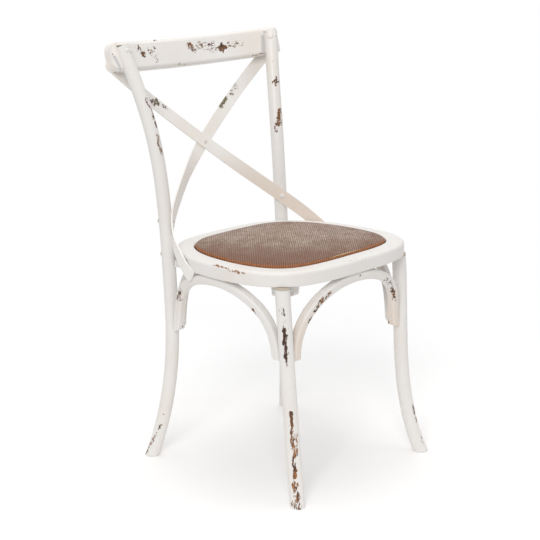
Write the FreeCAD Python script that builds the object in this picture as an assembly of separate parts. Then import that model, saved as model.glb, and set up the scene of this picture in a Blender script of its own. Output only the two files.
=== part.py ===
import FreeCAD, Part
import math
import os

os.makedirs("parts", exist_ok=True)

# Cross back dining chair, millimetres. +Z is up, the sitter faces -Y.
# The pieces are drawn about the middle of the seat. When they are saved they move by
# CENTRING, so that the origin lies on the floor under the middle of the whole chair.

V = FreeCAD.Vector
UP = V(0, 0, 1)
ORIGIN = V(0, 0, 0)
CENTRING = V(0, -44.6, 0)

# Rear posts: one bent round rod each, from the floor to the top rail.
POST_RADIUS = 14.25
POST_TOP = 868.0
POST_STATIONS = [
    (215.5, 204.5, -12), (188.3, 178.1, 120), (176.0, 170.3, 250), (174.6, 175.1, 380),
    (176.3, 187.0, 540), (184.4, 205.5, 676), (200.0, 229.6, 776), (225.5, 260.5, 878),
]

# Front legs: round, flaring forwards and outwards to the foot.
LEG_RADIUS = 14.8
LEG_STATIONS = [
    (181.6, -146.6, 446), (179.4, -158.6, 290), (178.9, -170.2, 160), (203.0, -211.5, -12),
]

# Where the right leg's and the right post's axes pass the seat ring.
LEG_TOP = V(181.4, -147.1, 0)
POST_AT_SEAT = V(174.8, 178.5, 0)

# Seat ring: a bent rounded frame, pitched slightly down to the back.
SEAT_TOP = 461.5
SEAT_PITCH = 0.69
RING_THICKNESS = 29.0
RING_WIDTH = 38.0
LEDGE_WIDTH = 8.0
LEDGE_DEPTH = 15.0
RING_TOP_ROUNDING = 7.0
RING_EDGE_ROUNDING = 3.0
RING_HALF_OUTLINE = [
    (0, -195.5), (104, -191.5), (174, -168), (211.5, -124), (228, -60),
    (227, 20), (208, 100), (151, 177), (0, 207),
]

# Drop-in seat pad: plywood board, foam and woven cover.
PAD_CLEARANCE = 0.8
BOARD_THICKNESS = 7.0
COVER_THICKNESS = 3.0
PAD_EDGE_HEIGHT = 4.5
PAD_CROWN = 13.0

# Top rail: a rounded plank bent around the back of the sitter, leaning back.
RAIL_LEAN = 16.4
RAIL_BEND_RADIUS = 1000.0
RAIL_THICKNESS = 32.0
RAIL_HALF_LENGTH = 246.0
RAIL_BOTTOM = -22.8
RAIL_TOP = 37.2
RAIL_CORNER = 21.0
RAIL_END_ROUNDING = 14.0
RAIL_ANCHOR = V(218.0, 249.6, 842.0)
LAP_DEPTH = 5.0

# Cross straps: flat steel, bent in plan, crossing in the middle of the back.
STRAP_WIDTH = 27.0
STRAP_THICKNESS = 3.0
STRAP_FALL = 0.743
STRAP_FALL_EASE = 0.000045
STRAP_LEAN = 0.49
STRAP_LEAN_LOW = 0.12
CROSSING_HEIGHT = 648.0
CROSSING_DEPTH = 247.4
CROSSING_OFFSET = 1.75
STRAP_PLAN = [
    (-248, 273.4), (-220, 274.1), (-150, 272.6), (-75, 263.0), (0, CROSSING_DEPTH), (60, 228.9),
    (120, 201.8), (166, 172.6), (182, 157.5), (197, 138.5), (208.5, 115), (215.8, 92), (222, 60),
]

# Arches under the seat, bent from squarish bar with well rounded edges.
ARCH_SIZE = 20.3
ARCH_ROUNDING = 6.0
ARCH_END_ROUNDING = 13.0
FRONT_ARCH_HALF = [
    (155.8, -159.5, 282), (151.4, -160.2, 325), (131.5, -169.5, 373), (79.0, -178.7, 411.5),
    (0.0, -181.0, 425.6),
]
REAR_ARCH_HALF = [
    (150.5, 171.2, 282), (146.4, 172.2, 323), (127.5, 177.6, 369), (77.0, 185.0, 407.5),
    (0.0, 187.0, 421.2),
]
SIDE_ARCH_HALF = [
    (178.5, -134.0, 283), (181.0, -128.4, 322), (190.6, -110.0, 368), (205.4, -65.5, 407.5),
    (211.0, 6.3, 423.4),
]

# Corner blocks between the legs and the ring.
BLOCK_WIDTH = 44.0
BLOCK_DEPTH = 24.0
BLOCK_HEIGHT = 14.0
BLOCK_SCREW_SPREAD = 14.0


def mirrored(shape):
    return shape.mirror(ORIGIN, V(1, 0, 0))


def smooth_path(points, closed=False):
    curve = Part.BSplineCurve()
    curve.interpolate([V(*p) for p in points], PeriodicFlag=closed)
    return curve


def arc_from(start, tangent, end):
    """Arc that leaves start along the tangent and runs to end."""
    chord = end - start
    aside = tangent - chord * (tangent.dot(chord) / chord.dot(chord))
    if aside.Length < 1e-4:
        return Part.makeLine(start, end)
    turn = math.asin(min(1.0, aside.Length))
    bulge = chord.Length / 2 * math.tan(turn / 2)
    return Part.Arc(start, (start + end) * 0.5 + aside.normalize() * bulge, end).toShape()


def arc_pair(start, tangent, end, end_tangent):
    """Two arcs that meet smoothly and join two points with given directions."""
    chord = end - start
    both = tangent + end_tangent
    spread = 2 * (1 - tangent.dot(end_tangent))
    along = chord.dot(both)
    if spread < 1e-6:
        reach = chord.dot(chord) / (2 * along)
    else:
        reach = (math.sqrt(along ** 2 + spread * chord.dot(chord)) - along) / spread
    first = start + tangent * reach
    last = end - end_tangent * reach
    joint = (first + last) * 0.5
    middle = V(last - first).normalize()
    return [arc_from(start, tangent, joint), arc_from(joint, middle, end)]


def arc_chain(points, closed=False):
    """Smooth chain of arcs through the points."""
    curve = smooth_path(points, closed)
    spots = [V(*p) for p in points]
    headings = [curve.tangent(curve.parameter(p))[0] for p in spots]
    if closed:
        spots.append(spots[0])
        headings.append(headings[0])
    edges = []
    for i in range(len(spots) - 1):
        edges += arc_pair(spots[i], headings[i], spots[i + 1], headings[i + 1])
    return Part.Wire(edges), spots[0], headings[0]


def plane_at(point, normal, across=None):
    """Placement whose local Z is normal and, if given, whose local X is close to across."""
    z = V(normal).normalize()
    hint = across or (V(1, 0, 0) if abs(z.x) < 0.9 else V(0, 1, 0))
    x = V(hint - z * hint.dot(z)).normalize()
    y = z.cross(x)
    turn = FreeCAD.Rotation(x, y, z, "ZXY")
    return FreeCAD.Placement(V(point), turn)


def swept(section, points):
    """Solid swept along a smooth chain of arcs through the points."""
    chain, start, heading = arc_chain(points)
    section.Placement = plane_at(start, heading, V(1, 0, 0))
    return chain.makePipeShell([section], True, False)


def round_bar(points, radius):
    return swept(Part.Wire([Part.makeCircle(radius)]), points)


def rounded_rectangle(width, height, radius):
    """Closed wire in the XY plane, centred on the origin."""
    w, h, r = width / 2, height / 2, radius
    k = r * (1 - math.sqrt(0.5))
    edges = []
    for sx, sy in ((1, 1), (-1, 1), (-1, -1), (1, -1)):
        a = V(sx * w, sy * (h - r), 0)
        b = V(sx * (w - r), sy * h, 0)
        mid = V(sx * (w - k), sy * (h - k), 0)
        edges.append(Part.Arc(a, mid, b).toShape())
    edges.append(Part.makeLine(V(w - r, h, 0), V(r - w, h, 0)))
    edges.append(Part.makeLine(V(-w, h - r, 0), V(-w, r - h, 0)))
    edges.append(Part.makeLine(V(r - w, -h, 0), V(w - r, -h, 0)))
    edges.append(Part.makeLine(V(w, r - h, 0), V(w, h - r, 0)))
    return Part.Wire(Part.__sortEdges__(edges))


def half_space(point, normal, size=900.0):
    """Large block on the side of a plane that the normal points to."""
    block = Part.makeBox(size, size, size, V(-size / 2, -size / 2, 0))
    block.Placement = plane_at(point, normal).multiply(block.Placement)
    return block


def to_seat(shape):
    """Move a shape drawn with the seat top at Z 0 into the pitched seat plane."""
    shape.rotate(ORIGIN, V(1, 0, 0), -SEAT_PITCH)
    shape.translate(V(0, 0, SEAT_TOP))
    return shape


def seat_underside():
    """Everything above the lower face of the seat ring."""
    return to_seat(Part.makeBox(900, 900, 200, V(-450, -450, -RING_THICKNESS)))


def rail_placement():
    """Local frame of the leaning rail: X across, Y back, Z up its height."""
    lean = FreeCAD.Rotation(V(1, 0, 0), -RAIL_LEAN)
    return FreeCAD.Placement(V(0, RAIL_ANCHOR.y, RAIL_ANCHOR.z), lean)


def rail_back_at(x):
    """Distance of the rail's front face behind the anchor, at a given half span."""
    sag = RAIL_BEND_RADIUS - math.sqrt(RAIL_BEND_RADIUS ** 2 - x * x)
    sag_at_post = RAIL_BEND_RADIUS - math.sqrt(RAIL_BEND_RADIUS ** 2 - RAIL_ANCHOR.x ** 2)
    return sag_at_post - sag


def outline_wire(inset=0.0):
    """Closed seat outline, moved inwards by the inset."""
    half = RING_HALF_OUTLINE
    points = [(x, y, 0) for x, y in half]
    points += [(-x, y, 0) for x, y in reversed(half[1:-1])]
    wire = arc_chain(points, True)[0]
    return wire.makeOffset2D(-inset) if inset else wire


def outline_block(inset, bottom, top):
    face = Part.Face(outline_wire(inset))
    block = face.extrude(V(0, 0, top - bottom))
    block.translate(V(0, 0, bottom))
    return block


def level_edges(shape, height):
    """Edges that lie flat at one height."""
    boxes = [(e, e.BoundBox) for e in shape.Edges]
    return [e for e, b in boxes if abs(b.ZMin - height) < 0.01 and abs(b.ZMax - height) < 0.01]


def domed_pin(start, direction, head_radius, head_height, shaft_radius, length, tail=0.0):
    """Domed head with a shaft that runs from start along direction, optionally peened."""
    profile = [(0, -head_height), (head_radius * 0.55, -head_height * 0.85),
               (head_radius, -head_height * 0.2), (head_radius, 0), (shaft_radius, 0),
               (shaft_radius, length)]
    if tail:
        profile += [(tail, length), (tail, length + 1.2), (tail * 0.6, length + 2.0),
                    (0, length + 2.0)]
    else:
        profile += [(0, length)]
    points = [V(r, 0, z) for r, z in profile]
    face = Part.Face(Part.makePolygon(points + points[:1]))
    pin = face.revolve(ORIGIN, UP, 360)
    pin.Placement = plane_at(start, direction)
    return pin


def drill(shape, pins):
    for pin in pins:
        if shape.BoundBox.intersect(pin.BoundBox):
            shape = shape.cut(pin)
    return shape


def fitted(shape, others):
    """Cut away what neighbours occupy, so that the faces seat against each other."""
    for other in others:
        shape = shape.cut(other)
    return max(shape.Solids, key=lambda s: s.Volume)


def rear_post():
    """Right rear post with its foot cut level and its top lapped to the rail."""
    post = round_bar(POST_STATIONS, POST_RADIUS)
    post = post.cut(half_space(ORIGIN, V(0, 0, -1)))
    lean = V(0.26, 0.30, 1)
    post = post.cut(half_space(V(222.8, 257.3, POST_TOP), lean))
    lap = Part.makeBox(80, 60, 110, V(RAIL_ANCHOR.x - 40, LAP_DEPTH, RAIL_BOTTOM - 0.6))
    lap.Placement = rail_placement().multiply(lap.Placement)
    return max(post.cut(lap).Solids, key=lambda s: s.Volume)


def front_leg():
    leg = round_bar(LEG_STATIONS, LEG_RADIUS)
    leg = leg.cut(half_space(ORIGIN, V(0, 0, -1)))
    return leg.cut(seat_underside())


def top_rail(posts):
    """Bent rail with rounded edges, rounded ends and a shallow bed for each post."""
    front = rail_back_at(0)
    height = RAIL_TOP - RAIL_BOTTOM
    section = rounded_rectangle(RAIL_THICKNESS, height, 8.0)
    section.rotate(ORIGIN, V(1, 0, 0), 90)
    section.rotate(ORIGIN, UP, 90)
    section.translate(V(0, front + RAIL_THICKNESS / 2, (RAIL_TOP + RAIL_BOTTOM) / 2))
    centre = V(0, front - RAIL_BEND_RADIUS, 0)
    half_angle = math.degrees(math.asin(RAIL_HALF_LENGTH / RAIL_BEND_RADIUS)) + 1.0
    face = Part.Face(section)
    face.rotate(centre, UP, -half_angle)
    rail = face.revolve(centre, UP, 2 * half_angle)
    ends = Part.Face(rounded_rectangle(2 * RAIL_HALF_LENGTH, height, RAIL_CORNER))
    ends = ends.extrude(V(0, 0, 160))
    ends.rotate(ORIGIN, V(1, 0, 0), 90)
    ends.translate(V(0, 100, (RAIL_TOP + RAIL_BOTTOM) / 2))
    rail = rail.common(ends)
    for tool in pair(rail_bed()) + pair(rail_end_rounding(centre)):
        rail = rail.cut(tool)
    rail.Placement = rail_placement().multiply(rail.Placement)
    return fitted(rail, posts)


def rail_end_rounding(centre):
    """What is cut away to round the front upright edge of the rail's right end."""
    radius = RAIL_END_ROUNDING
    reach = RAIL_BEND_RADIUS + radius
    axis = V(RAIL_HALF_LENGTH - radius, 0, 0)
    axis.y = centre.y + math.sqrt(reach ** 2 - axis.x ** 2)
    axis.z = RAIL_BOTTOM - radius
    tall = RAIL_TOP - RAIL_BOTTOM + 2 * radius
    toward_front = V(centre.x - axis.x, centre.y - axis.y, 0).normalize()
    corners = [axis, axis + V(2 * radius, 0, 0), axis + V(2 * radius, -2 * radius, 0),
               axis + toward_front * (2 * radius)]
    wedge = Part.Face(Part.makePolygon(corners + corners[:1])).extrude(UP * tall)
    return wedge.cut(Part.makeCylinder(radius, tall, axis))


def rail_bed():
    """Shallow bed with sloping side walls, cut into the rail's front for the post."""
    low, high = RAIL_BOTTOM - 5, RAIL_TOP - 9
    x_low, x_high = RAIL_ANCHOR.x - 14.5, RAIL_ANCHOR.x - 0.5
    half = POST_RADIUS + 1.2
    outer = [V(x_low - half - 7, -14, low), V(x_low + half + 7, -14, low),
             V(x_high + half + 7, -14, high + 2), V(x_high - half - 7, -14, high + 2)]
    inner = [V(x_low - half, LAP_DEPTH, low), V(x_low + half, LAP_DEPTH, low),
             V(x_high + half, LAP_DEPTH, high), V(x_high - half, LAP_DEPTH, high)]
    wires = [Part.makePolygon(w + [w[0]]) for w in (outer, inner)]
    return Part.makeLoft(wires, True, True)


def seat_ring():
    """Bent frame with an opening and a ledge for the pad, rounded all round."""
    ring = outline_block(0, -RING_THICKNESS, 0)
    ring = ring.makeFillet(RING_TOP_ROUNDING, level_edges(ring, 0))
    ring = ring.makeFillet(RING_EDGE_ROUNDING, level_edges(ring, -RING_THICKNESS))
    ring = ring.cut(outline_block(RING_WIDTH + LEDGE_WIDTH, -RING_THICKNESS - 1, 1))
    ring = ring.cut(outline_block(RING_WIDTH, -LEDGE_DEPTH, 1))
    outline = outline_wire()
    inner = [e for e in level_edges(ring, 0) if e.distToShape(outline)[0] > RING_WIDTH - 1]
    ring = ring.makeFillet(RING_EDGE_ROUNDING, inner)
    return to_seat(ring)


def dome_cap(inset, bottom, edge, crown):
    """Pad layer: flat below, domed above, following the seat outline."""
    block = outline_block(inset, bottom, crown + 5)
    reach = 190.0
    rise = crown - edge
    radius = (reach ** 2 + rise ** 2) / (2 * rise)
    ball = Part.makeSphere(radius, V(0, 6, crown - radius))
    return block.common(ball)


def seat_board():
    inset = RING_WIDTH + PAD_CLEARANCE
    return to_seat(outline_block(inset, -LEDGE_DEPTH, -LEDGE_DEPTH + BOARD_THICKNESS))


def seat_foam():
    base = -LEDGE_DEPTH + BOARD_THICKNESS
    inset = RING_WIDTH + PAD_CLEARANCE + COVER_THICKNESS
    top = PAD_CROWN - COVER_THICKNESS
    return to_seat(dome_cap(inset, base, PAD_EDGE_HEIGHT - COVER_THICKNESS, top))


def rattan_cover():
    """Woven cover: a domed skin that wraps the foam down to the board."""
    base = -LEDGE_DEPTH + BOARD_THICKNESS
    outer = dome_cap(RING_WIDTH + PAD_CLEARANCE, base, PAD_EDGE_HEIGHT, PAD_CROWN)
    return fitted(to_seat(outer), [seat_foam()])


def strap_line(offset):
    """Plan curve of one strap and the distance along it from its top to the crossing."""
    points = [(x, y + offset * math.exp(-(x / 75.0) ** 4), 0) for x, y in STRAP_PLAN]
    plan = smooth_path(points)
    middle = plan.parameter(V(0, CROSSING_DEPTH + offset, 0))
    return plan, plan.length(plan.FirstParameter, middle)


def strap_frame(plan, before, travel):
    """Point, length direction and back-facing normal at a distance below the crossing."""
    t = plan.parameterAtDistance(travel + before, plan.FirstParameter)
    place = plan.value(t)
    fall = STRAP_FALL * travel - STRAP_FALL_EASE * travel ** 2
    point = V(place.x, place.y, CROSSING_HEIGHT - fall)
    tangent = plan.tangent(t)[0]
    level = V(-tangent.y, tangent.x, 0)
    tangent.z = -STRAP_FALL + 2 * STRAP_FALL_EASE * travel
    tangent.normalize()
    eased = min(1.0, max(0.0, (80.0 - travel) / 60.0))
    settled = min(1.0, max(0.0, (230.0 - travel) / 50.0))
    lean = (STRAP_LEAN_LOW + (STRAP_LEAN - STRAP_LEAN_LOW) * eased) * settled
    back = level + V(0, 0, -lean)
    back = (back - tangent * back.dot(tangent)).normalize()
    return point, tangent, back


def cross_strap(offset):
    """Strap from the upper left rail end to the right side of the seat ring."""
    plan, before = strap_line(offset)
    total = plan.length(plan.FirstParameter, plan.LastParameter)
    sections = []
    count = 27
    for i in range(count):
        point, tangent, back = strap_frame(plan, before, total * i / (count - 1) - before)
        across = tangent.cross(back)
        w, d = across * (STRAP_WIDTH / 2), back * (STRAP_THICKNESS / 2)
        corners = [point - w - d, point + w - d, point + w + d, point - w + d]
        sections.append(Part.makePolygon(corners + corners[:1]))
    strap = Part.makeLoft(sections, True)
    short = [e for e in strap.Edges if e.Length < STRAP_THICKNESS + 0.5]
    return strap.makeFillet(9.0, short)


def arch_end_rounding(end, inward):
    """What is cut away to round the inner lower corner of an arch's end."""
    radius = ARCH_END_ROUNDING
    corner = V(*end) + inward * (ARCH_SIZE / 2)
    across = inward.cross(UP)
    axis = corner - inward * radius + UP * radius
    block = [corner + inward * 3 - UP * 3, corner + inward * 3 + UP * radius, axis,
             corner - inward * radius - UP * 3]
    prism = Part.Face(Part.makePolygon(block + block[:1])).extrude(across * 2 * ARCH_SIZE)
    prism.translate(across * -ARCH_SIZE)
    return prism.cut(Part.makeCylinder(radius, 2 * ARCH_SIZE, axis - across * ARCH_SIZE, across))


def arch_bar(points, neighbours):
    """Squarish bar with rounded edges, swept along a path that starts and ends level."""
    bar = swept(rounded_rectangle(ARCH_SIZE, ARCH_SIZE, ARCH_ROUNDING), points)
    span = V(*points[-1]) - V(*points[0])
    span.normalize()
    tools = [arch_end_rounding(points[0], span), arch_end_rounding(points[-1], span * -1)]
    return fitted(bar, tools + neighbours + [seat_underside()])


def end_arch(half, legs):
    """Arch across the front or the back, mirrored about the middle of the chair."""
    points = half + [(-x, y, z) for x, y, z in reversed(half[:-1])]
    return arch_bar(points, legs)


def side_arch(legs):
    """Right side arch, mirrored about its own middle."""
    half = SIDE_ARCH_HALF
    middle = half[-1][1]
    points = half + [(x, 2 * middle - y, z) for x, y, z in reversed(half[:-1])]
    return arch_bar(points, legs)


def corner_block(centre, inward):
    """Hardwood block under the ring, behind one leg, with its ends rounded off below."""
    section = rounded_rectangle(BLOCK_WIDTH, 2 * BLOCK_HEIGHT, 7.0)
    block = Part.Face(section).extrude(V(0, 0, BLOCK_DEPTH))
    block = block.cut(Part.makeBox(100, 100, 100, V(-50, 0, -10)))
    block.Placement = plane_at(V(centre.x, centre.y, 0), inward, V(-inward.y, inward.x, 0))
    if block.BoundBox.ZMax > BLOCK_HEIGHT / 2:
        block.Placement = plane_at(V(centre.x, centre.y, 0), inward, V(inward.y, -inward.x, 0))
    block.translate(V(0, 0, -RING_THICKNESS))
    return to_seat(block)


def toward_seat(x, y):
    return V(-x, -y, 0).normalize()


def pair(shape):
    return [shape, mirrored(shape)]


def rail_bolt():
    """Dome head on the post top, shaft through the rail, round nut at the back."""
    back = rail_placement().Rotation.multVec(V(0, 1, 0))
    start = V(219.9, 254.0, 857.0) - back * (POST_RADIUS - 0.3)
    return domed_pin(start, back, 4.6, 2.6, 2.5, 45.5, 5.5)


def seat_bolt():
    """Dome head behind the post, shaft into the rear corner of the ring."""
    inward = toward_seat(175.0, 181.0)
    start = V(174.9, 179.6, 442.0) - inward * (POST_RADIUS - 0.3)
    return domed_pin(start, inward, 4.6, 2.6, 2.5, 58.0)


def strap_rivet():
    """Rivet through the strap and the post, peened behind the post."""
    plan, before = strap_line(0)
    point, _, back = strap_frame(plan, before, 184.0)
    start = point - back * (STRAP_THICKNESS / 2 - 0.2)
    return domed_pin(start, back, 4.4, 2.6, 2.2, 2 * POST_RADIUS + 3.0, 4.0)


def centre_rivet():
    plan, before = strap_line(0)
    point, _, back = strap_frame(plan, before, 0.0)
    back = V(0, back.y, back.z).normalize()
    return domed_pin(point - back * 3.0, back, 4.8, 3.0, 2.2, 6.1, 4.0)


def strap_end_screws():
    """One screw into the back of the rail and one into the side of the ring."""
    plan, before = strap_line(0)
    screws = []
    for travel, side in ((-235.0, 1), (284.0, 1)):
        point, _, back = strap_frame(plan, before, travel)
        start = point + back * (STRAP_THICKNESS / 2 - 0.2) * side
        screws.append(domed_pin(start, back * -side, 3.6, 1.8, 1.8, 17.0))
    return screws


def arch_leg_screws():
    """Screws through the arch ends into legs and posts."""
    height = 300.0
    spots = [
        (V(154.2 - ARCH_SIZE / 2, -159.5, height), V(1, 0, 0)),
        (V(149.2 - ARCH_SIZE / 2, 171.2, height), V(1, 0, 0)),
        (V(179.3, -132.0 + ARCH_SIZE / 2, height), V(0, -1, 0)),
        (V(179.3, 144.6 - ARCH_SIZE / 2, height), V(0, 1, 0)),
    ]
    return [domed_pin(p + d * 0.3, d, 3.4, 1.6, 1.8, 34.0) for p, d in spots]


def arch_seat_screws():
    """Screws up through the tops of the arches into the ring."""
    spots = [(0.0, -181.0, 425.6), (0.0, 187.0, 421.2), (211.0, 6.3, 423.4), (-211.0, 6.3, 423.4)]
    drop = ARCH_SIZE / 2 - 0.3
    return [domed_pin(V(x, y, z - drop), UP, 3.6, 1.8, 1.8, 36.0) for x, y, z in spots]


def block_screws(centre, inward):
    """Two screws from each corner block up into the ring, one into the leg."""
    across = V(-inward.y, inward.x, 0)
    bottom = SEAT_TOP - RING_THICKNESS - BLOCK_HEIGHT - centre.y * math.sin(math.radians(SEAT_PITCH))
    screws = []
    for side in (-1, 1):
        spot = centre + across * (BLOCK_SCREW_SPREAD * side) + inward * (BLOCK_DEPTH / 2)
        screws.append(domed_pin(V(spot.x, spot.y, bottom + 0.3), UP, 3.6, 1.6, 1.8, 27.0))
    spot = centre + inward * (BLOCK_DEPTH - 0.3)
    low = V(spot.x, spot.y, bottom + BLOCK_HEIGHT / 2)
    screws.append(domed_pin(low, inward * -1, 3.6, 1.6, 1.8, 34.0))
    return screws


def board_screws():
    """Screws up through the ledge of the ring into the seat board."""
    spots = []
    for x, y in ((0, -151.5), (0, 163.5)):
        spots.append(V(x, y, -RING_THICKNESS + 0.3))
    for x in (-187.5, 187.5):
        spots.append(V(x, -10, -RING_THICKNESS + 0.3))
    return [to_seat(domed_pin(p, UP, 3.2, 1.4, 1.7, 17.0)) for p in spots]


def tenon(x, y):
    """Round tenon on top of a front leg."""
    return Part.makeCylinder(8.0, 30.0, V(x, y, 424.0))


def save(name, shapes):
    solids = []
    for shape in shapes:
        solids += shape.Solids
    result = solids[0] if len(solids) == 1 else Part.makeCompound(solids)
    result.translate(CENTRING)
    result.exportStep("parts/" + name + ".step")


def build():
    strap_r = cross_strap(-CROSSING_OFFSET)
    strap_l = mirrored(cross_strap(CROSSING_OFFSET))
    straps = [strap_r, strap_l]

    post_r = rear_post()
    posts = pair(post_r)
    leg_r = front_leg().fuse(tenon(LEG_TOP.x, LEG_TOP.y)).removeSplitter()
    legs = pair(leg_r)

    rail_bolts = pair(rail_bolt())
    seat_bolts = pair(seat_bolt())
    rivets = pair(strap_rivet())
    middle_rivet = centre_rivet()
    end_screws = []
    for screw in strap_end_screws():
        end_screws += pair(screw)
    leg_screws = []
    for screw in arch_leg_screws():
        leg_screws += pair(screw)
    seat_screws = arch_seat_screws()
    front_in = toward_seat(LEG_TOP.x, LEG_TOP.y)
    rear_in = toward_seat(POST_AT_SEAT.x, POST_AT_SEAT.y)
    front_spot = LEG_TOP + front_in * (LEG_RADIUS - 1.0)
    rear_spot = POST_AT_SEAT + rear_in * (POST_RADIUS - 1.0)
    block_pins = []
    blocks = []
    for spot, inward in ((front_spot, front_in), (rear_spot, rear_in)):
        blocks += pair(corner_block(spot, inward))
        for screw in block_screws(spot, inward):
            block_pins += pair(screw)
    board_pins = board_screws()

    rail = drill(fitted(top_rail(posts), straps), rail_bolts + end_screws)
    ring = fitted(seat_ring(), posts + legs + straps)
    ring = drill(ring, seat_bolts + end_screws + seat_screws + block_pins + board_pins)
    board = drill(seat_board(), board_pins)
    arches = [end_arch(FRONT_ARCH_HALF, legs), end_arch(REAR_ARCH_HALF, posts)]
    arches += [fitted(arch, straps) for arch in pair(side_arch([leg_r, post_r]))]
    arches = [drill(arch, leg_screws + seat_screws) for arch in arches]
    blocks = [fitted(block, legs + posts) for block in blocks]
    blocks = [drill(block, block_pins + seat_bolts) for block in blocks]
    posts = [fitted(post, straps) for post in posts]
    posts = [drill(p, rail_bolts + seat_bolts + rivets + leg_screws + block_pins) for p in posts]
    legs = [drill(leg, leg_screws + block_pins) for leg in legs]
    straps = [drill(strap, rivets + end_screws + [middle_rivet]) for strap in straps]

    save("seat_ring", [ring])
    save("seat_board", [board])
    save("seat_foam", [seat_foam()])
    save("rattan_cover", [rattan_cover()])
    save("top_rail", [rail])
    save("rear_post_right", [posts[0]])
    save("rear_post_left", [posts[1]])
    save("front_leg_right", [legs[0]])
    save("front_leg_left", [legs[1]])
    save("cross_strap_front", [straps[0]])
    save("cross_strap_back", [straps[1]])
    save("front_arch", [arches[0]])
    save("rear_arch", [arches[1]])
    save("side_arch_right", [arches[2]])
    save("side_arch_left", [arches[3]])
    names = ("front_right", "front_left", "rear_right", "rear_left")
    for name, block in zip(names, blocks):
        save("corner_block_" + name, [block])
    save("centre_rivet", [middle_rivet])
    save("strap_post_rivets", rivets)
    save("rail_bolts", rail_bolts)
    save("seat_post_bolts", seat_bolts)
    save("strap_end_screws", end_screws)
    save("arch_leg_screws", leg_screws)
    save("arch_seat_screws", seat_screws)
    save("corner_block_screws", block_pins)
    save("seat_board_screws", board_pins)


build()
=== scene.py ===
import math

import bmesh
import bpy
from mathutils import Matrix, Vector
from mathutils.bvhtree import BVHTree
from mathutils.geometry import convex_hull_2d


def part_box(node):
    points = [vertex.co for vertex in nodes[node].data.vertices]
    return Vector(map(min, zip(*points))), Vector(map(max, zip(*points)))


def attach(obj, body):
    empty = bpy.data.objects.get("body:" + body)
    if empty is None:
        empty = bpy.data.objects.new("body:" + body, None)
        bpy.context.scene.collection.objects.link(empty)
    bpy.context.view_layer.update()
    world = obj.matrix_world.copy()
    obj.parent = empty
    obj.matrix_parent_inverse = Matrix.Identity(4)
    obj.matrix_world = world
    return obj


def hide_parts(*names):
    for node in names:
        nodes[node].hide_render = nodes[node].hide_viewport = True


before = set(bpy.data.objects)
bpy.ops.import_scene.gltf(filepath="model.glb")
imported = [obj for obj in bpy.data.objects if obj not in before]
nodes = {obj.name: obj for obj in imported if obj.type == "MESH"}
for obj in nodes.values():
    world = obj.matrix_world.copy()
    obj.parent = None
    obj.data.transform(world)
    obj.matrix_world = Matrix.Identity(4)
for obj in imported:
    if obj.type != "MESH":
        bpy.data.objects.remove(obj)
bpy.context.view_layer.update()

# The photograph's camera: pixels of a 540 by 540 picture, metres and degrees.
PICTURE = 540
FOCAL_PIXELS = 1413.16
SENSOR_MM = 36.0
CAMERA_AZIMUTH = -47.108
CAMERA_ELEVATION = 14.847
CAMERA_DISTANCE = 2.9077
CAMERA_TARGET = Vector((-0.05815, -0.04579, 0.41636))

# Seat plane and pad: metres, degrees and counts.
SEAT_TOP = 0.4615
SEAT_PITCH = 0.69
SEAT_MIDDLE_Y = -0.0446
PAD_EDGE = 0.0062
PAD_CROWN = 0.0135
PAD_SHOULDER = 0.0075
PAD_SINK = 0.006
PAD_REACH = 0.165
PAD_POINTS = 160
SHOULDER_RINGS = 6
CROWN_RINGS = 26

# Weave of the cover, metres: width of a strand, how far it strays and how deep it looks.
WEAVE_PITCH = 0.0031
WEAVE_STRAY = 0.0024
WEAVE_DEPTH = 0.0009
PAD_PALE_SPOT = (0.022, -0.015, 0.0)

# Cloth simulation of the cover, metres: grid, rim that is held, highest rise, and its frames.
CLOTH_GRID = 0.005
CLOTH_HELD = 0.002
CLOTH_RISE = 0.0035
CLOTH_FRAMES = 20

# Floor: distances from the chair over which it fades out and its height, metres, and its glow.
FLOOR_FADE = (0.5, 1.3)
FLOOR_LEVEL = -0.0005
FLOOR_GLOW = 0.10

# World light on the object, and the white that the camera sees behind it.
WORLD_LIGHT = 0.59
WORLD_SEEN = 1.0

# Lamps: place and size in metres, power in watts, colour.
LAMPS = {
    "key": ((-2.9, -2.0, 2.7), 1.8, 72.0, (1.0, 0.99, 0.98)),
    "fill": ((2.2, -2.8, 1.6), 1.8, 6.0, (1.0, 0.98, 0.95)),
    "top": ((0.3, 0.4, 3.2), 2.2, 28.0, (1.0, 1.0, 1.0)),
}
LAMP_AIM = Vector((0, 0, 0.45))

# Colours of the paint and of what lies under it, linear; the primer and bare colours also paint the thin
# shadow lines, and the blue-grey one is painted shade.
PAINT = (0.775, 0.757, 0.735)
# Lighter copies of the same paint for the rail and the straps, which are painted light.
PAINT_RAIL_LIT = (0.82, 0.80, 0.775)
PAINT_STRAP_LIT = (0.85, 0.825, 0.79)
PAINT_WARM = (0.72, 0.635, 0.545)
PAINT_PINK = (0.745, 0.64, 0.55)
PRIMER = (0.42, 0.33, 0.24)
BARE_DARK = (0.060, 0.027, 0.016)
BARE_BROWN = (0.23, 0.105, 0.045)
BARE_ORANGE = (0.33, 0.135, 0.045)
BARE_STEEL = (0.17, 0.145, 0.085)
PAINTED_SHADE_BLUE = (0.36, 0.38, 0.41)

# The two colours that each plain material is mixed from, linear.
WOOD_COLORS = ((0.16, 0.085, 0.045), (0.34, 0.21, 0.12))
STEEL_COLORS = ((0.36, 0.35, 0.32), (0.10, 0.10, 0.085))
FOAM_COLORS = ((0.50, 0.40, 0.22), (0.75, 0.66, 0.44))
FLOOR_COLORS = ((0.95, 0.95, 0.95), (0.97, 0.97, 0.97))
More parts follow.
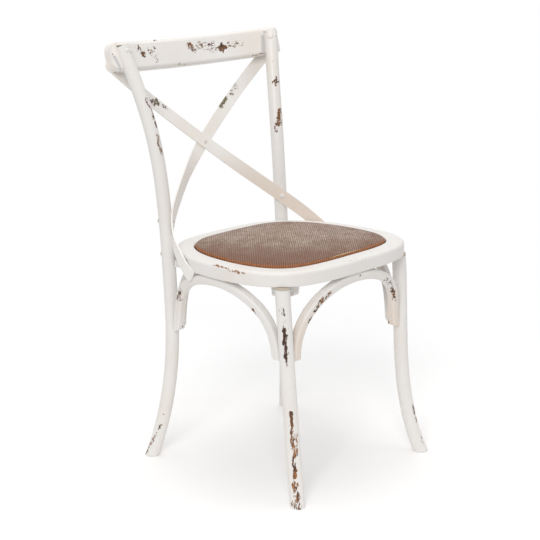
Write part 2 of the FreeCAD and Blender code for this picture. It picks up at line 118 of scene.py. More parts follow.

# Colours of the woven cover, linear: strands, their glints and flecks, the gaps and the rim, whose colour
# is partly painted shade and reflection.
STRAND_DARK = (0.30, 0.198, 0.148)
STRAND_PALE = (0.46, 0.335, 0.265)
STRAND_FIBRE = (0.55, 0.43, 0.35)
STRAND_GLINT = (0.66, 0.53, 0.44)
STRAND_FLECK = (0.15, 0.066, 0.036)
STRAND_MOTTLE = (0.20, 0.095, 0.052)
STRAND_OUTER = (0.185, 0.076, 0.035)
STRAND_GAP = (0.10, 0.045, 0.024)
RIM_DARK = (0.22, 0.066, 0.018)
RIM_PALE = (0.50, 0.19, 0.058)
RIM_GAP = (0.13, 0.042, 0.015)

# How much wider than its given radius a chip may reach; how far its outline strays and how
# deep it looks, metres.
CHIP_SPREAD = 1.3
CHIP_STRAY = 0.011
CHIP_DEPTH = 0.00035

# Level direction away from the camera: the faces that the photograph doesn't show.
AWAY = (0.72, 0.66, 0.0)

# Painted contact shadow at the leg tops: distances below the ring between which the leg darkens, metres.
JOINT_SHADOW_BAND = (0.0022, 0.0006)

# Heights over which the paint turns pinkish and the bare wood dark, metres.
PINK_FADE = 0.12
DARK_FADE = 0.04

# Chips of each piece, with a few painted shadow lines at gaps and joints among them: two pixels of the
# photograph, radius in millimetres, strength.
CHIPS_AND_SHADOW_LINES = {
    "top_rail": [
        (139, 49, 144, 55, 10, 0.78), (150, 51, 158, 58, 11, 0.52), (189.5, 45, 193.5, 50, 8.5, 0.98),
        (199, 46, 214, 46.5, 12, 0.60), (208, 51, 215, 52, 7, 0.5), (219.5, 48, 225.5, 47, 7, 1.25),
        (222, 44, 223, 51, 4.5, 1.15), (229, 45, 243, 44, 8, 0.62), (154, 40.5, 157, 40, 4, 0.8),
        (194, 35.8, 195, 36, 4, 0.9), (128, 53, 130, 56, 4, 0.6), (176, 65, 188, 64, 3, 0.5),
        # The next four marks are painted shadow lines under the rail and in the gaps beside the near post.
        (253, 55.5, 263, 53.5, 1.8, 1.0), (114, 72, 121, 71.8, 1.8, 0.95),
        (114.8, 57.5, 120.8, 70.5, 1.3, 0.95), (112.6, 53.5, 114, 56, 1.5, 0.9),
        (156, 62.5, 160, 62, 2, 0.7),
    ],
    "rear_post_right": [
        (273.5, 81.5, 278, 81.5, 3.2, 1.15), (276, 77, 276, 86, 3.2, 1.1), (280, 110, 277.5, 125, 6, 1.05),
        (275.5, 126, 275.5, 132, 5, 0.8), (281.5, 109, 282, 124, 5, 0.62), (269, 28, 273, 28.5, 3, 0.5),
    ],
    "rear_post_left": [
        (146.5, 100, 151, 109, 7, 0.66), (152, 110, 156, 126, 5.5, 0.78),
        (157.5, 135, 162, 154, 5.5, 0.78), (147.6, 446, 146.3, 453, 3.2, 0.95),
        (151.5, 433, 151.5, 434, 2.2, 0.9),
    ],
    "front_leg_left": [
        (282.5, 309, 284.5, 328, 6.5, 0.66), (284.5, 330, 286, 358, 5, 1.15),
        (286.5, 361, 287, 366, 4, 0.9), (291, 412, 292.5, 440, 4, 1.15), (293, 440, 295, 478, 5.5, 1.02),
        (296, 434, 297, 455, 4, 0.7), (294, 484, 297.5, 500, 7.5, 0.92), (294, 504, 299, 507, 9, 0.75),
        # Painted shadow line where the side arch's end meets the leg.
        (277.6, 334, 277.8, 350, 1.0, 0.9),
    ],
    "front_leg_right": [
        (413, 405, 416.5, 421, 4, 0.72), (420.5, 435, 422.5, 443, 3, 0.62),
    ],
    "seat_ring": [
        (213.5, 265.0, 221, 266.3, 3.2, 1.0), (221, 266.6, 239, 272.6, 3, 0.92),
        (241, 273.5, 244, 274, 2.5, 0.8), (267.3, 276.3, 267.8, 276.8, 2.6, 1.0),
        (346, 261.3, 356, 259.5, 5, 0.5), (362, 257.5, 368, 256.5, 5, 0.5),
        (304, 263.5, 312, 262.5, 4, 0.4),
    ],
    "side_arch_left": [
        (180.5, 290, 178, 300, 8, 0.74), (252.6, 310, 259.6, 321, 4, 1.05),
        (183.5, 327, 183.7, 327, 4.2, 0.85),
    ],
    "front_arch": [
        (331, 292.5, 320, 303, 6.5, 0.85), (321, 302, 310, 321, 7, 0.72), (386, 279, 392, 287, 8, 0.70),
        (392, 287, 395.5, 300, 6, 0.82), (360, 276, 361, 275, 2.5, 0.9),
        (388.5, 322.5, 388.7, 322.5, 4.2, 0.85),
    ],
    "cross_strap_front": [
        (151, 101, 158, 102.5, 6.5, 0.95), (157, 99, 153.5, 104.5, 5, 1.0), (163, 106, 166, 108, 6, 0.66),
    ],
    "cross_strap_back": [
        (221, 105.5, 225, 98, 7, 1.15), (231, 93, 236, 87, 9, 0.56),
    ],
    "corner_block_front_left": [
        (271.5, 290, 273, 291, 3.0, 0.95), (293.5, 292, 296, 291, 3.0, 0.9),
    ],
}

# Painted blue-grey shade in the gaps beside the posts and at the strap's end, given like the chips.
PAINTED_SHADES = {
    "top_rail": [(114.5, 57, 120.5, 69, 3.5, 0.6), (263, 37, 263.5, 51, 6, 0.55)],
    "seat_ring": [(186.5, 260, 190.5, 272, 3, 0.7), (184, 256, 186, 262, 3, 0.5)],
}

# Coat of each piece: material name, seed of its noise and what differs from the plain coat.
COATS = {
    "top_rail": ("paint_rail", 1.1, {"grain": (0.7, 1, 1), "back_wear": 0.9, "tone": PAINT_RAIL_LIT}),
    "rear_post_right": ("paint_post_right", 2.3,
                        {"grain": (1, 1, 0.45), "back_wear": 0.9, "roughness": 0.32}),
    "rear_post_left": ("paint_post_left", 3.7,
                       {"grain": (1, 1, 0.45), "back_wear": 0.9, "roughness": 0.34}),
    "front_leg_left": ("paint_leg_left", 4.2,
                       {"grain": (1, 1, 0.22), "back_wear": 0.9, "dark_above": 0.24,
                        "bare": (BARE_DARK, BARE_ORANGE)}),
    "front_leg_right": ("paint_leg_right", 5.9, {"grain": (1, 1, 0.3), "back_wear": 0.9}),
    "seat_ring": ("paint_ring", 6.4,
                  {"grain": (0.8, 0.8, 1), "back_wear": 0.8, "bare": (BARE_BROWN, BARE_ORANGE)}),
    "side_arch_left": ("paint_arch_left", 7.7, {"grain": (0.6, 0.6, 0.6), "back_wear": 0.8}),
    "side_arch_right": ("paint_arch_right", 8.1, {"grain": (0.6, 0.6, 0.6), "back_wear": 0.8}),
    # The front arch's pinkish lower part is painted shade on its inner side.
    "front_arch": ("paint_arch_front", 9.6,
                   {"grain": (0.6, 0.6, 0.6), "back_wear": 0.8, "pink_below": 0.425}),
    "rear_arch": ("paint_arch_rear", 10.2, {"grain": (0.6, 0.6, 0.6), "back_wear": 0.8}),
    "cross_strap_front": ("paint_strap_front", 11.4,
                          {"bare": (BARE_DARK, BARE_STEEL), "back_wear": 0.6, "pink_below": 0.63,
                           "tone": PAINT_STRAP_LIT, "roughness": 0.36}),
    "cross_strap_back": ("paint_strap_back", 12.8,
                         {"bare": (BARE_STEEL, BARE_STEEL), "back_wear": 0.6,
                          "tone": PAINT_STRAP_LIT, "roughness": 0.36}),
}

# Fasteners that are painted over with the frame, and screws that show their steel.
PAINTED_FASTENERS = ("centre_rivet", "strap_post_rivets", "rail_bolts", "seat_post_bolts",
                     "strap_end_screws")
STEEL_SCREWS = ("arch_seat_screws", "corner_block_screws", "seat_board_screws")

# Radius and height of the domed caps over the rivets of the straps, metres.
CAPS = {"centre_rivet": (0.0058, 0.0027), "strap_post_rivets": (0.0066, 0.0033)}

# Share of a cap's height by which its base lies behind the front of the rivet's head.
CAP_SINK = 0.8
CAP_POINTS = 32
CAP_RINGS = 6

# Depth of a rivet's tip, and half the width of the middle where the centre rivet lies, metres.
RIVET_TIP = 0.0015
RIVET_MIDDLE = 0.02

# Pixel of the far post's bolt head, and the radius, height and sink of its cap in metres.
RAIL_BOLT_PIXEL = (270.3, 36.3)
RAIL_BOLT_CAP = (0.0060, 0.0028)
RAIL_BOLT_SINK = 0.0006


def camera_axes():
    """Camera position and its right, up and forward directions."""
    azimuth = math.radians(CAMERA_AZIMUTH)
    elevation = math.radians(CAMERA_ELEVATION)
    level = Vector((math.sin(azimuth), -math.cos(azimuth), 0))
    offset = level * math.cos(elevation) + Vector((0, 0, math.sin(elevation)))
    right = Vector((math.cos(azimuth), math.sin(azimuth), 0))
    forward = -offset
    return CAMERA_TARGET + offset * CAMERA_DISTANCE, right, right.cross(forward), forward


def make_camera():
    place, _, _, forward = camera_axes()
    data = bpy.data.cameras.new("photo_camera")
    data.sensor_width = SENSOR_MM
    data.lens = FOCAL_PIXELS / PICTURE * SENSOR_MM
    camera = bpy.data.objects.new("photo_camera", data)
    bpy.context.scene.collection.objects.link(camera)
    camera.location = place
    camera.rotation_euler = forward.to_track_quat("-Z", "Y").to_euler()
    bpy.context.scene.camera = camera


def camera_ray(u, v):
    """Start and direction of the line of sight through a pixel of the photograph."""
    place, right, up, forward = camera_axes()
    across = (u - PICTURE / 2) / FOCAL_PIXELS
    down = (v - PICTURE / 2) / FOCAL_PIXELS
    return place, (forward + right * across - up * down).normalized()


def surface_spot(tree, u, v):
    """Point of a surface that the camera sees at a pixel, or the nearest where it sees none."""
    place, ray = camera_ray(u, v)
    hit = tree.ray_cast(place, ray)[0]
    if hit is not None:
        return hit
    reach = (CAMERA_TARGET - place).length
    return tree.find_nearest(place + ray * reach)[0]


def node_tree_of(node):
    mesh = node.data
    return BVHTree.FromPolygons([v.co for v in mesh.vertices], [p.vertices for p in mesh.polygons])


class Graph:
    """One material and the nodes that make it."""

    def __init__(self, name):
        self.material = bpy.data.materials.new(name)
        self.material.use_nodes = True
        self.tree = self.material.node_tree
        self.tree.nodes.clear()

    def feed(self, socket, value):
        if isinstance(value, bpy.types.NodeSocket):
            self.tree.links.new(value, socket)
        elif isinstance(value, (tuple, list)) and len(value) == 3 and len(socket.default_value) == 4:
            socket.default_value = (*value, 1.0)
        else:
            socket.default_value = value

    def add(self, kind, inputs=None, **settings):
        new = self.tree.nodes.new(kind)
        for key, value in settings.items():
            setattr(new, key, value)
        for key, value in (inputs or {}).items():
            self.feed(new.inputs[key], value)
        return new

    def calc(self, operation, *values, clamp=False):
        new = self.add("ShaderNodeMath", operation=operation, use_clamp=clamp)
        for socket, value in zip(new.inputs, values):
            self.feed(socket, value)
        return new.outputs[0]

    def vector(self, operation, *values, scale=None):
        new = self.add("ShaderNodeVectorMath", operation=operation)
        for socket, value in zip(new.inputs, values):
            self.feed(socket, value)
        if scale is not None:
            self.feed(new.inputs["Scale"], scale)
        single = operation in ("DOT_PRODUCT", "LENGTH", "DISTANCE")
        return new.outputs["Value" if single else "Vector"]

    def mix(self, factor, first, second):
        new = self.add("ShaderNodeMix", data_type="RGBA")
        self.feed(new.inputs[0], factor)
        self.feed(new.inputs[6], first)
        self.feed(new.inputs[7], second)
        return new.outputs[2]

    def noise(self, vector, scale, detail=3.0, roughness=0.5, distortion=0.0):
        sockets = {"Vector": vector, "Scale": scale, "Detail": detail, "Roughness": roughness,
                   "Distortion": distortion}
        return self.add("ShaderNodeTexNoise", sockets).outputs["Fac"]

    def ramp(self, value, low, high, to_low=0.0, to_high=1.0):
        sockets = {"Value": value, "From Min": low, "From Max": high, "To Min": to_low,
                   "To Max": to_high}
        return self.add("ShaderNodeMapRange", sockets, interpolation_type="SMOOTHSTEP").outputs[0]

    def position(self):
        return self.add("ShaderNodeTexCoord").outputs["Object"]

    def bump(self, height, distance, strength):
        sockets = {"Height": height, "Distance": distance, "Strength": strength}
        return self.add("ShaderNodeBump", sockets).outputs[0]

    def finish(self, color, roughness, normal, **constants):
        shader = self.add("ShaderNodeBsdfPrincipled")
        self.feed(shader.inputs["Base Color"], color)
        self.feed(shader.inputs["Roughness"], roughness)
        self.feed(shader.inputs["Normal"], normal)
        for key, value in constants.items():
            self.feed(shader.inputs[key.replace("_", " ")], value)
        output = self.add("ShaderNodeOutputMaterial")
        self.tree.links.new(shader.outputs[0], output.inputs[0])
        return self.material


def capsule_level(graph, position, start, end, radius):
    """1 on and near the line from start to end, falling to 0 at the radius around it."""
    along = end - start
    from_start = graph.vector("SUBTRACT", position, tuple(start))
    travel = graph.vector("DOT_PRODUCT", from_start, tuple(along))
    share = graph.calc("DIVIDE", travel, max(along.length_squared, 1e-9), clamp=True)
    nearest = graph.vector("SCALE", tuple(along), scale=share)
    distance = graph.vector("DISTANCE", from_start, nearest)
    inside = graph.calc("SUBTRACT", 1.0, graph.calc("DIVIDE", distance, radius))
    return graph.calc("MULTIPLY", inside, 1.6, clamp=True)


def strongest(graph, position, patches):
    """Highest level of several patches, each (start, end, radius, strength)."""
    total = None
    for start, end, radius, strength in patches:
        level = capsule_level(graph, position, start, end, radius)
        level = graph.calc("MULTIPLY", level, strength)
        total = level if total is None else graph.calc("MAXIMUM", total, level)
    return total


def placed(node, marks):
    """Patches whose ends are given as pixels of the photograph, set on the node's surface."""
    tree = node_tree_of(node)
    patches = []
    for u0, v0, u1, v1, radius_mm, strength in marks:
        start = surface_spot(tree, u0, v0)
        end = surface_spot(tree, u1, v1)
        patches.append((start, end, radius_mm / 1000 * CHIP_SPREAD, strength))
    return patches


def paint(name, patches=(), painted_shades=(), grain=(1, 1, 1), bare=(BARE_DARK, BARE_BROWN), seed=0.0,
          back_wear=0.0, joint_z=None, pink_below=None, dark_above=None, tone=PAINT,
          roughness=0.42):
    """Brushed off-white paint, chipped where the patches say, a little worn on the far sides, with painted
    shade from the shade patches and a painted contact shadow under the ring at joint_z.
    """
    graph = Graph(name)
    position = graph.position()
    shifted = graph.vector("ADD", position, (seed, seed * 0.7, seed * 1.3))
    along = graph.vector("MULTIPLY", shifted, grain)

    chip_noise = graph.noise(along, 210.0, 5.0, 0.68, 0.4)
    speck_noise = graph.noise(along, 620.0, 3.0, 0.6)
    blend = graph.calc("ADD", graph.calc("MULTIPLY", chip_noise, 0.72),
                       graph.calc("MULTIPLY", speck_noise, 0.28))
    wander = graph.add("ShaderNodeTexNoise", {"Vector": shifted, "Scale": 110.0, "Detail": 3.0})
    drift = graph.vector("SUBTRACT", wander.outputs["Color"], (0.5, 0.5, 0.5))
    strayed = graph.vector("ADD", position, graph.vector("SCALE", drift, scale=CHIP_STRAY))
    level = strongest(graph, strayed, patches) if patches else 0.0

    normal = graph.add("ShaderNodeNewGeometry").outputs["Normal"]
    away = graph.vector("DOT_PRODUCT", normal, AWAY)
    hidden = graph.ramp(away, 0.1, 0.5)
    clusters = graph.ramp(graph.noise(along, 7.0, 2.0, 0.5), 0.60, 0.72)
    hidden_level = graph.calc("MULTIPLY", graph.calc("MULTIPLY", hidden, clusters), back_wear)
    level = graph.calc("MAXIMUM", level, hidden_level)

    raggedness = graph.ramp(level, 0.0, 0.25, 0.0, 3.2)
    ragged = graph.calc("MULTIPLY", graph.calc("SUBTRACT", blend, 0.5), raggedness)
    raised = graph.calc("ADD", graph.calc("MULTIPLY", level, 0.72), ragged)
    depth = graph.calc("SUBTRACT", raised, 0.5)
    # Mask of the chips and of the painted shadow lines listed among them.
    chip_and_line = graph.ramp(depth, 0.0, 0.06)
    core = graph.ramp(depth, 0.02, 0.11)
    bare_noise = graph.noise(along, 90.0, 4.0, 0.6)
    bare_color = graph.mix(graph.ramp(bare_noise, 0.4, 0.62), bare[0], bare[1])
    height = graph.add("ShaderNodeSeparateXYZ", {"Vector": position}).outputs["Z"]
    if dark_above is not None:
        darker = graph.ramp(height, dark_above, dark_above + DARK_FADE)
        bare_color = graph.mix(darker, bare_color, BARE_DARK)
    under = graph.mix(core, PRIMER, bare_color)

    warmth = graph.ramp(graph.noise(shifted, 5.0, 3.0, 0.55), 0.42, 0.75, 0.0, 0.42)
    streak = graph.noise(along, 900.0, 2.0, 0.5)
    coat = graph.mix(warmth, tone, PAINT_WARM)
    coat = graph.mix(graph.ramp(streak, 0.35, 0.7, 0.0, 0.05), coat, PAINT_WARM)
    speck = graph.ramp(graph.noise(shifted, 330.0, 1.0, 0.4), 0.775, 0.80, 0.0, 0.5)
    coat = graph.mix(speck, coat, PRIMER)
    # Painted shade: blue-grey in the gaps beside the posts and at the strap's end.
    if painted_shades:
        coat = graph.mix(strongest(graph, position, painted_shades), coat, PAINTED_SHADE_BLUE)
    # Pinkish towards the bottom; on the front arch this is painted shade.
    if pink_below is not None:
        pinker = graph.ramp(height, pink_below, pink_below - PINK_FADE, 0.0, 0.75)
        coat = graph.mix(pinker, coat, PAINT_PINK)
    # Painted contact shadow: a band just under the ring at the top of each front leg.
    if joint_z is not None:
        joint_shade = graph.ramp(height, joint_z - JOINT_SHADOW_BAND[0], joint_z - JOINT_SHADOW_BAND[1], 0.0, 0.75)
        coat = graph.mix(joint_shade, coat, PRIMER)
    # Chips show the colour under the paint; the painted shadow lines among them take the same colour.
    color = graph.mix(chip_and_line, coat, under)

    dull = graph.noise(shifted, 60.0, 3.0, 0.6)
    gloss = graph.ramp(dull, 0.3, 0.7, roughness - 0.05, roughness + 0.08)
    rough = graph.calc("ADD", gloss, graph.calc("MULTIPLY", chip_and_line, 0.3))
    brush = graph.calc("MULTIPLY", graph.noise(along, 260.0, 4.0, 0.6), 0.10)
    relief = graph.calc("SUBTRACT", brush, chip_and_line)
    bump = graph.bump(relief, CHIP_DEPTH, 0.8)
    return graph.finish(color, rough, bump, Specular_IOR_Level=0.4)


def rattan():
    """Plain weave of brown rattan strands, orange-brown where it turns down at the edge, partly its own
    colour there and partly painted shade and reflection.
    """
    graph = Graph("rattan_weave")
    position = graph.position()
    wobble = graph.add("ShaderNodeTexNoise", {"Vector": position, "Scale": 70.0, "Detail": 2.0})
    offset = graph.vector("SUBTRACT", wobble.outputs["Color"], (0.5, 0.5, 0.5))
    bent = graph.vector("ADD", position, graph.vector("SCALE", offset, scale=WEAVE_STRAY))
    cells = graph.vector("SCALE", bent, scale=1 / WEAVE_PITCH)
    split = graph.add("ShaderNodeSeparateXYZ", {"Vector": cells})
    heights = []
    for near, far, turn in (("X", "Y", 0.0), ("Y", "X", math.pi)):
        index = graph.calc("FLOOR", split.outputs[near])
        inside = graph.calc("SUBTRACT", split.outputs[near], index)
        centred = graph.calc("SUBTRACT", graph.calc("MULTIPLY", inside, 2.0), 1.0)
        squared = graph.calc("MULTIPLY", centred, centred)
        section = graph.calc("SQRT", graph.calc("SUBTRACT", 1.02, squared))
        phase = graph.calc("MULTIPLY", graph.calc("ADD", split.outputs[far], index), math.pi)
        wave = graph.calc("COSINE", graph.calc("ADD", phase, turn))
        heights.append(graph.calc("ADD", section, graph.calc("MULTIPLY", wave, 0.75)))
    height = graph.calc("MAXIMUM", *heights)
    cell = graph.vector("MULTIPLY", graph.vector("FLOOR", cells), (1, 1, 0))
    chance = graph.add("ShaderNodeTexWhiteNoise", {"Vector": cell}, noise_dimensions="3D")
    fibre = graph.noise(graph.vector("MULTIPLY", position, (1, 1, 0.4)), 1500.0, 2.0, 0.6)
    mottle = graph.noise(position, 28.0, 4.0, 0.62)

    strand = graph.mix(chance.outputs["Value"], STRAND_DARK, STRAND_PALE)
    strand = graph.mix(graph.ramp(fibre, 0.4, 0.7, 0.0, 0.5), strand, STRAND_FIBRE)
    glint = graph.ramp(graph.noise(position, 210.0, 2.0, 0.7), 0.50, 0.64, 0.0, 0.75)
    strand = graph.mix(glint, strand, STRAND_GLINT)
    elsewhere = graph.vector("ADD", position, (3, 1, 0))
    fleck = graph.ramp(graph.noise(elsewhere, 250.0, 2.0, 0.7), 0.50, 0.63, 0.0, 0.75)
    strand = graph.mix(fleck, strand, STRAND_FLECK)
    strand = graph.mix(graph.ramp(mottle, 0.40, 0.70, 0.0, 0.6), strand, STRAND_MOTTLE)
    flat = graph.vector("MULTIPLY", graph.vector("SUBTRACT", position, PAD_PALE_SPOT), (1, 1, 0))
    along = graph.calc("ABSOLUTE", graph.vector("DOT_PRODUCT", flat, (0.7, 0.7, 0.0)))
    outer = graph.calc("ADD", graph.calc("MULTIPLY", graph.vector("LENGTH", flat), 0.68),
                       graph.calc("MULTIPLY", along, 0.32))
    outer = graph.calc("ADD", outer, graph.calc("MULTIPLY", mottle, 0.08))
    strand = graph.mix(graph.ramp(outer, 0.115, 0.235, 0.0, 0.88), strand, STRAND_OUTER)
    gap = graph.ramp(height, 0.3, 1.0)
    top = graph.mix(gap, STRAND_GAP, strand)

    # Rim: the turned-down side, in orange-brown that is partly its own colour and partly painted shade and
    # reflection.
    normal = graph.add("ShaderNodeNewGeometry").outputs["Normal"]
    upright = graph.add("ShaderNodeSeparateXYZ", {"Vector": normal}).outputs["Z"]
    rim = graph.ramp(upright, 0.94, 0.72)
    rim_strand = graph.mix(graph.ramp(fibre, 0.42, 0.62), RIM_DARK, RIM_PALE)
    rim_color = graph.mix(graph.ramp(height, 0.4, 1.1), RIM_GAP, rim_strand)
    color = graph.mix(rim, top, rim_color)

    rough = graph.ramp(fibre, 0.3, 0.7, 0.42, 0.62)
    bump = graph.bump(height, WEAVE_DEPTH, 0.9)
    return graph.finish(color, rough, bump, Specular_IOR_Level=0.45)


def bare_wood():
    """Brown beech with fine grain."""
    graph = Graph("bare_wood")
    position = graph.position()
    grain = graph.noise(graph.vector("MULTIPLY", position, (0.25, 1, 1)), 160.0, 5.0, 0.6, 0.6)
    color = graph.mix(graph.ramp(grain, 0.35, 0.7), *WOOD_COLORS)
    rough = graph.ramp(grain, 0.3, 0.7, 0.55, 0.7)
    return graph.finish(color, rough, graph.bump(grain, 0.0002, 0.5))


def steel():
    """Dull grey screw steel with darker stains."""
    graph = Graph("screw_steel")
    position = graph.position()
    stain = graph.noise(position, 400.0, 4.0, 0.6)
    color = graph.mix(graph.ramp(stain, 0.4, 0.65), *STEEL_COLORS)
    rough = graph.ramp(stain, 0.3, 0.7, 0.35, 0.6)
    return graph.finish(color, rough, graph.bump(stain, 0.0001, 0.4), Metallic=0.9)


def foam():
    """Open yellowish foam."""
    graph = Graph("foam")
    sockets = {"Vector": graph.position(), "Scale": 700.0}
    cells = graph.add("ShaderNodeTexVoronoi", sockets).outputs[0]
    color = graph.mix(graph.ramp(cells, 0.1, 0.6), *FOAM_COLORS)
    rough = graph.ramp(cells, 0.0, 1.0, 0.8, 0.95)
    return graph.finish(color, rough, graph.bump(cells, 0.0004, 0.5))


def dress(node, material):
    node.data.materials.clear()
    node.data.materials.append(material)
    for polygon in node.data.polygons:
        polygon.material_index = 0


def seat_plane(y):
    return SEAT_TOP - math.tan(math.radians(SEAT_PITCH)) * (y - SEAT_MIDDLE_Y)


def pad_outline(count):
    """Evenly spaced points of the woven cover's outline, and their middle."""
    spots = [Vector((v.co.x, v.co.y)) for v in nodes["rattan_cover"].data.vertices]
    hull = [spots[i] for i in convex_hull_2d(spots)]
    lengths = [(hull[i] - hull[i - 1]).length for i in range(len(hull))]
    total = sum(lengths)
    outline = []
    for k in range(count):
        left = total * k / count
        i = 0
        while left > lengths[i]:
            left -= lengths[i]
            i += 1
        outline.append(hull[i - 1].lerp(hull[i], left / lengths[i]))
    return outline, sum(outline, Vector((0, 0))) / count


def pad_profile():
    """(inset, height above the seat plane) from the pad's lower rim to near its middle."""
    profile = [(0.0, -PAD_SINK), (0.0, 0.0)]
    for step in range(1, SHOULDER_RINGS + 1):
        turn = math.radians(90 * step / SHOULDER_RINGS)
        inset = PAD_SHOULDER * (1 - math.cos(turn))
        profile.append((inset, PAD_EDGE * math.sin(turn)))
    for step in range(1, CROWN_RINGS):
        share = step / CROWN_RINGS
        inset = PAD_SHOULDER + (PAD_REACH - PAD_SHOULDER) * share
        rise = 1 - (1 - share) ** 2
        profile.append((inset, PAD_EDGE + (PAD_CROWN - PAD_EDGE) * rise))
    return profile


def woven_pad():
    """Crowned pad with a rounded woven rim, puffed a little by a cloth simulation."""
    outline, middle = pad_outline(PAD_POINTS)
    grid = bmesh.new()
    rings = []
    for inset, height in pad_profile():
        ring = []
        for spot in outline:
            inward = middle - spot
            place = spot + inward * (inset / max(inward.length, inset + 1e-6))
            ring.append(grid.verts.new((place.x, place.y, seat_plane(place.y) + height)))
        rings.append(ring)
    for low, high in zip(rings, rings[1:]):
        for k in range(PAD_POINTS):
            after = (k + 1) % PAD_POINTS
            grid.faces.new((low[k], low[after], high[after], high[k]))
    top = grid.verts.new((middle.x, middle.y, seat_plane(middle.y) + PAD_CROWN))
    base = grid.verts.new((middle.x, middle.y, seat_plane(middle.y) - PAD_SINK))
    for k in range(PAD_POINTS):
        after = (k + 1) % PAD_POINTS
        grid.faces.new((rings[-1][k], rings[-1][after], top))
        grid.faces.new((rings[0][after], rings[0][k], base))
    bmesh.ops.recalc_face_normals(grid, faces=grid.faces)
    mesh = bpy.data.meshes.new("woven_seat_pad")
    grid.to_mesh(mesh)
    grid.free()
    pad = bpy.data.objects.new("woven_seat_pad", mesh)
    bpy.context.scene.collection.objects.link(pad)
    puff(pad)
    for polygon in pad.data.polygons:
        polygon.use_smooth = True
    pad.data.materials.append(rattan())
    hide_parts("rattan_cover")
    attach(pad, "root")


def puff(pad):
    """Remesh the pad, blow it up as cloth with its rim held, and keep a limited rise."""
    scene = bpy.context.scene
    bpy.context.view_layer.objects.active = pad
    pad.select_set(True)
    remesh = pad.modifiers.new("remesh", "REMESH")
    remesh.mode = "VOXEL"
    remesh.voxel_size = CLOTH_GRID
    bpy.ops.object.modifier_apply(modifier=remesh.name)
    rest = [v.co.copy() for v in pad.data.vertices]
    held = pad.vertex_groups.new(name="held")
    low = [v.index for v in pad.data.vertices if v.co.z < seat_plane(v.co.y) + CLOTH_HELD]
    held.add(low, 1.0, "REPLACE")
    cloth = pad.modifiers.new("cloth", "CLOTH")
    cloth.settings.vertex_group_mass = "held"
    cloth.settings.use_pressure = True
    cloth.settings.uniform_pressure_force = 4.0
    cloth.settings.effector_weights.gravity = 0.0
    cloth.settings.tension_stiffness = 40.0
    cloth.settings.bending_stiffness = 8.0
    cloth.point_cache.frame_start = 1
    cloth.point_cache.frame_end = CLOTH_FRAMES
    for step in range(1, CLOTH_FRAMES + 1):
        scene.frame_set(step)
    bpy.ops.object.modifier_apply(modifier=cloth.name)
    scene.frame_set(1)
    for vertex, before in zip(pad.data.vertices, rest):
        rise = min(CLOTH_RISE, max(0.0, vertex.co.z - before.z))
        vertex.co = (before.x, before.y, before.z + rise)
    relax = pad.modifiers.new("relax", "SMOOTH")
    relax.iterations = 4
    bpy.ops.object.modifier_apply(modifier=relax.name)
    finer = pad.modifiers.new("finer", "SUBSURF")
    finer.levels = 1
    finer.render_levels = 1
    bpy.ops.object.modifier_apply(modifier=finer.name)
    pad.select_set(False)


def rail_bolt_caps(material):
    """A domed cap near the top of each rear post, where the photograph shows the right one."""
    place, ray = camera_ray(*RAIL_BOLT_PIXEL)
    spot, normal = node_tree_of(nodes["rear_post_right"]).ray_cast(place, ray)[:2]
    radius, height = RAIL_BOLT_CAP
    for side, flip in (("right", 1), ("left", -1)):
        axis = Vector((normal.x * flip, normal.y, normal.z))
        base = Vector((spot.x * flip, spot.y, spot.z)) - axis * RAIL_BOLT_SINK
        dome("cap_rail_bolt_" + side, base, axis.normalized(), radius, height, material)


def rivet_caps(name, material):
    """A domed cap over the front head of each rivet of a node."""
    spots = [v.co.copy() for v in nodes[name].data.vertices]
    sides = [[s for s in spots if s.x < -RIVET_MIDDLE],
             [s for s in spots if abs(s.x) <= RIVET_MIDDLE],
             [s for s in spots if s.x > RIVET_MIDDLE]]
    for index, rivet in enumerate(side for side in sides if side):
        foremost = min(s.y for s in rivet)
        rearmost = max(s.y for s in rivet)
        head = [s for s in rivet if s.y < foremost + RIVET_TIP]
        tail = [s for s in rivet if s.y > rearmost - RIVET_TIP]
        front = sum(head, Vector()) / len(head)
        axis = (front - sum(tail, Vector()) / len(tail)).normalized()
        radius, height = CAPS[name]
        base = front - axis * height * CAP_SINK
        dome("cap_%s_%d" % (name, index), base, axis, radius, height, material)


def dome(name, base, axis, full, height, material):
    """Low closed dome that stands on a base point."""
    across = axis.orthogonal().normalized()
    other = axis.cross(across)
    grid = bmesh.new()
    loops = []
    for step in range(CAP_RINGS):
        turn = math.radians(90 * step / CAP_RINGS)
        radius, lift = full * math.cos(turn), height * math.sin(turn)
        loop = []
        for k in range(CAP_POINTS):
            angle = 2 * math.pi * k / CAP_POINTS
            spoke = across * math.cos(angle) + other * math.sin(angle)
            loop.append(grid.verts.new(base + spoke * radius + axis * lift))
        loops.append(loop)
    for low, high in zip(loops, loops[1:]):
        for k in range(CAP_POINTS):
            after = (k + 1) % CAP_POINTS
            grid.faces.new((low[k], low[after], high[after], high[k]))
    grid.faces.new(list(reversed(loops[0])))
    top = grid.verts.new(base + axis * height)
    for k in range(CAP_POINTS):
        grid.faces.new((loops[-1][k], loops[-1][(k + 1) % CAP_POINTS], top))
    bmesh.ops.recalc_face_normals(grid, faces=grid.faces)
    mesh = bpy.data.meshes.new(name)
    grid.to_mesh(mesh)
    grid.free()
    for polygon in mesh.polygons:
        polygon.use_smooth = len(polygon.vertices) < CAP_POINTS
    cap = bpy.data.objects.new(name, mesh)
    bpy.context.scene.collection.objects.link(cap)
    cap.data.materials.append(material)
    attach(cap, "root")


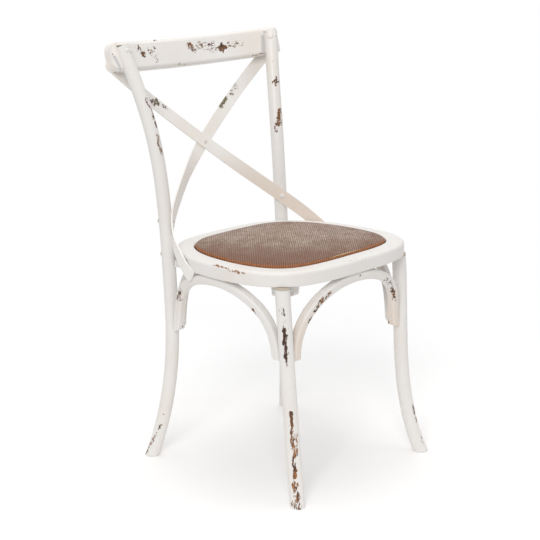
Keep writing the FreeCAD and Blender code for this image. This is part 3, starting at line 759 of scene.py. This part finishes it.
def dress_frame():
    """Paint each wooden and steel piece, with its chips, painted shadow lines and painted shade where the
    photograph shows them.
    """
    ring_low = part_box("seat_ring")[0].z
    for name, (coat_name, seed, settings) in COATS.items():
        node = nodes[name]
        chips_and_lines = placed(node, CHIPS_AND_SHADOW_LINES.get(name, []))
        painted_shades = placed(node, PAINTED_SHADES.get(name, []))
        # Front legs get the painted contact shadow under the ring.
        joint_z = ring_low if name.startswith("front_leg") else None
        dress(node, paint(coat_name, chips_and_lines, painted_shades, seed=seed, joint_z=joint_z, **settings))
    fastener = paint("paint_fasteners", seed=13.0)
    for name in PAINTED_FASTENERS:
        dress(nodes[name], fastener)
    for name in CAPS:
        rivet_caps(name, fastener)
    rail_bolt_caps(fastener)


def dress_rest():
    """Corner blocks, board, foam and screws."""
    for name in nodes:
        if name.startswith("corner_block_") and name != "corner_block_screws":
            chips_and_lines = placed(nodes[name], CHIPS_AND_SHADOW_LINES.get(name, []))
            bare = (BARE_STEEL, BARE_STEEL)
            dress(nodes[name], paint("paint_" + name, chips_and_lines, bare=bare, back_wear=0.3, seed=14.0))
    dress(nodes["seat_board"], bare_wood())
    dress(nodes["seat_foam"], foam())
    dress(nodes["arch_leg_screws"], paint("paint_arch_screws", seed=15.0))
    metal = steel()
    for name in STEEL_SCREWS:
        dress(nodes[name], metal)


def pale_floor():
    """Matt white floor with a faint glow, fading into the white surroundings."""
    graph = Graph("pale_floor")
    position = graph.position()
    tone = graph.noise(position, 1.5, 2.0, 0.5)
    color = graph.mix(graph.ramp(tone, 0.3, 0.7), *FLOOR_COLORS)
    matt = graph.add("ShaderNodeBsdfDiffuse", {"Color": color})
    lift = graph.add("ShaderNodeEmission", {"Color": color, "Strength": FLOOR_GLOW})
    shader = graph.add("ShaderNodeAddShader", {0: matt.outputs[0], 1: lift.outputs[0]})
    clear = graph.add("ShaderNodeBsdfTransparent")
    distance = graph.vector("LENGTH", position)
    fade = graph.ramp(distance, *FLOOR_FADE)
    both = graph.add("ShaderNodeMixShader", {0: fade, 1: shader.outputs[0], 2: clear.outputs[0]})
    output = graph.add("ShaderNodeOutputMaterial")
    graph.tree.links.new(both.outputs[0], output.inputs[0])
    return graph.material


def lay_floor():
    mesh = bpy.data.meshes.new("floor")
    half = FLOOR_FADE[1]
    corners = [(-half, -half, FLOOR_LEVEL), (half, -half, FLOOR_LEVEL),
               (half, half, FLOOR_LEVEL), (-half, half, FLOOR_LEVEL)]
    mesh.from_pydata(corners, [], [(0, 1, 2, 3)])
    floor = bpy.data.objects.new("floor", mesh)
    bpy.context.scene.collection.objects.link(floor)
    floor.data.materials.append(pale_floor())


def white_world():
    """World that is white to look at and in reflections, but lights the chair a little less."""
    world = bpy.data.worlds.new("studio")
    world.use_nodes = True
    bpy.context.scene.world = world
    tree = world.node_tree
    tree.nodes.clear()
    rays = tree.nodes.new("ShaderNodeLightPath")
    seen = rays.outputs["Is Camera Ray"]
    for kind in ("Is Glossy Ray", "Is Transmission Ray"):
        either = tree.nodes.new("ShaderNodeMath")
        either.operation = "MAXIMUM"
        tree.links.new(seen, either.inputs[0])
        tree.links.new(rays.outputs[kind], either.inputs[1])
        seen = either.outputs[0]
    level = tree.nodes.new("ShaderNodeMapRange")
    tree.links.new(seen, level.inputs["Value"])
    level.inputs["To Min"].default_value = WORLD_LIGHT
    level.inputs["To Max"].default_value = WORLD_SEEN
    sky = tree.nodes.new("ShaderNodeBackground")
    sky.inputs["Color"].default_value = (1.0, 1.0, 1.0, 1.0)
    tree.links.new(level.outputs[0], sky.inputs["Strength"])
    output = tree.nodes.new("ShaderNodeOutputWorld")
    tree.links.new(sky.outputs[0], output.inputs[0])


def lamp(name, place, size, power, color):
    data = bpy.data.lights.new(name, "AREA")
    data.size = size
    data.energy = power
    data.color = color
    light = bpy.data.objects.new(name, data)
    bpy.context.scene.collection.objects.link(light)
    light.location = place
    aim = LAMP_AIM - Vector(place)
    light.rotation_euler = aim.to_track_quat("-Z", "Y").to_euler()


def studio():
    """Pale floor, white world and soft lamps."""
    lay_floor()
    white_world()
    for name, (place, size, power, color) in LAMPS.items():
        lamp(name, place, size, power, color)
    bpy.context.scene.view_settings.view_transform = "Standard"


make_camera()
studio()
dress_frame()
dress_rest()
woven_pad()
